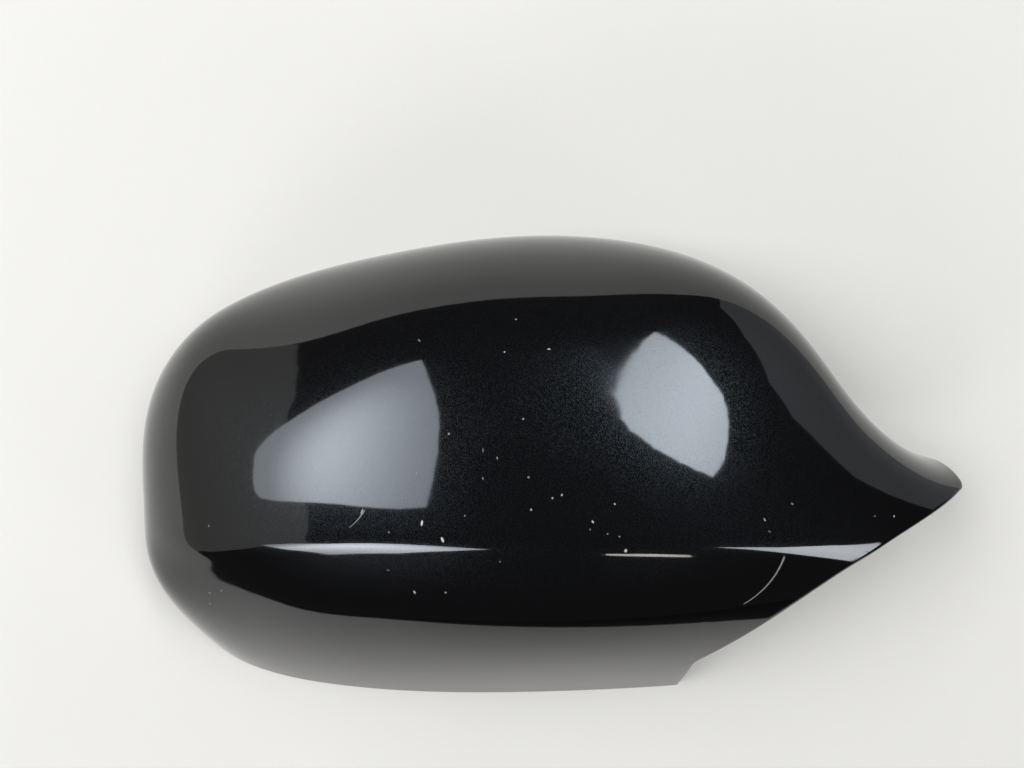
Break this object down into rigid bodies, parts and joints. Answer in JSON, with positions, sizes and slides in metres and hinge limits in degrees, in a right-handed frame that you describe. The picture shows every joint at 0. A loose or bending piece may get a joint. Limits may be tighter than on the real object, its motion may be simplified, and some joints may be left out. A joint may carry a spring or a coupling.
{
  "type": "wing mirror cover",
  "caption": "Gloss black painted wing mirror cover: a one-piece domed shell with a soft lengthwise crease, a pointed inboard tip and a slanted cut for the mirror arm.",
  "frame": {"origin": "middle of the outline, on the plane of the rim", "axes": "+X from the outboard end to the pointed inboard tip, +Y to the upper edge, +Z out of the painted front"},
  "size_m": [0.2384, 0.1414, 0.0657],
  "materials": {
    "black_paint": "gloss black paint with clear coat outside, matt black moulded plastic inside"
  },
  "bodies": {
    "root": {"mirror_cover": "black_paint"}
  },
  "joints": []
}
